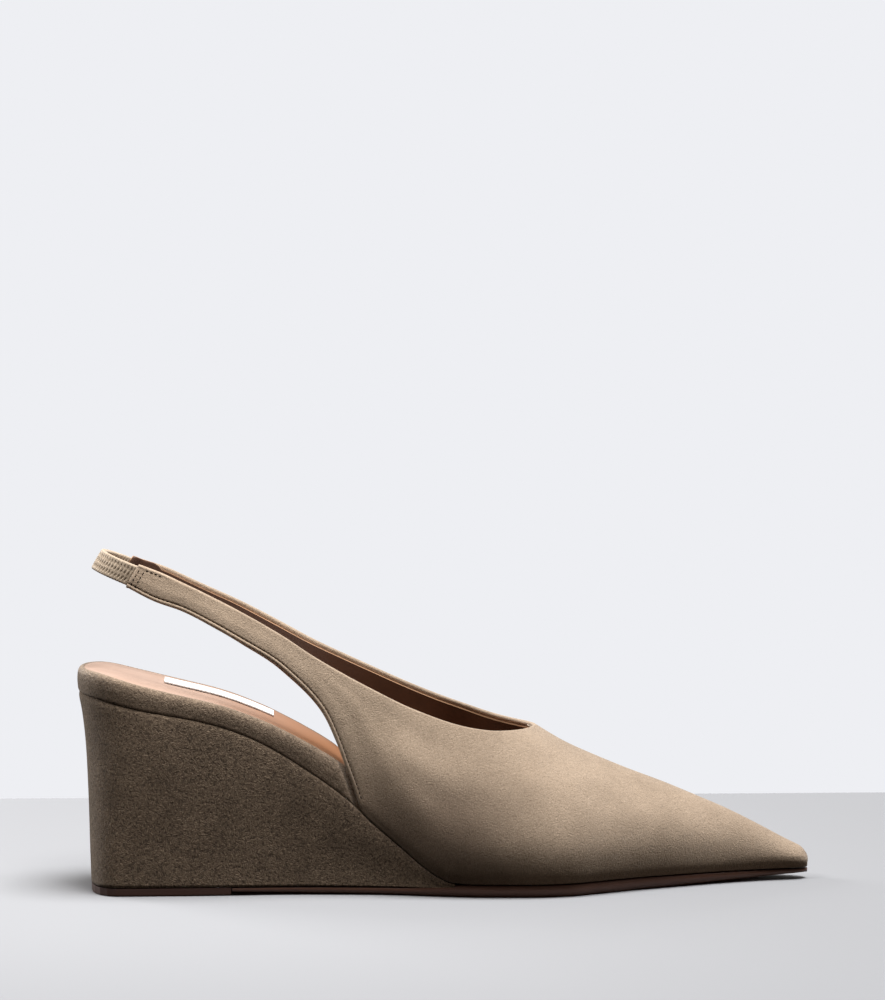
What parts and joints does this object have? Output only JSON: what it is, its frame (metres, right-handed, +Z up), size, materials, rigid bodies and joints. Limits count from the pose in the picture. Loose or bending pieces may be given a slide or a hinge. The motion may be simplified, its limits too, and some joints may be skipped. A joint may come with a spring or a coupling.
{
  "type": "wedge pump",
  "caption": "Pointed-toe suede slingback pump on a suede-covered wedge, with a gathered elastic strap behind the heel, a tan insole and a thin brown leather sole.",
  "frame": {"origin": "on the floor, under the middle of the shoe's length and width", "axes": "+X towards the toe, +Y towards the inner side of the foot, +Z up"},
  "size_m": [0.25, 0.0733, 0.1148],
  "materials": {
    "suede": "matt suede with a short nap",
    "elastic_suede": "gathered suede-covered elastic",
    "wedge_suede": "matt suede with a coarse nap",
    "insole_leather": "smooth tan leather, a soft sheen",
    "patch": "bare white patch, matt",
    "sole_leather": "brown leather with a burnished edge",
    "top_piece": "brown wear layer, matt",
    "lining": "smooth brown leather lining",
    "thread": "sewing thread, matt"
  },
  "bodies": {
    "root": {"upper": "suede", "elastic_strap": "elastic_suede", "wedge": "wedge_suede", "platform": "wedge_suede", "insole": "insole_leather", "label_patch": "patch", "outsole": "sole_leather", "top_piece": "top_piece"}
  },
  "joints": []
}
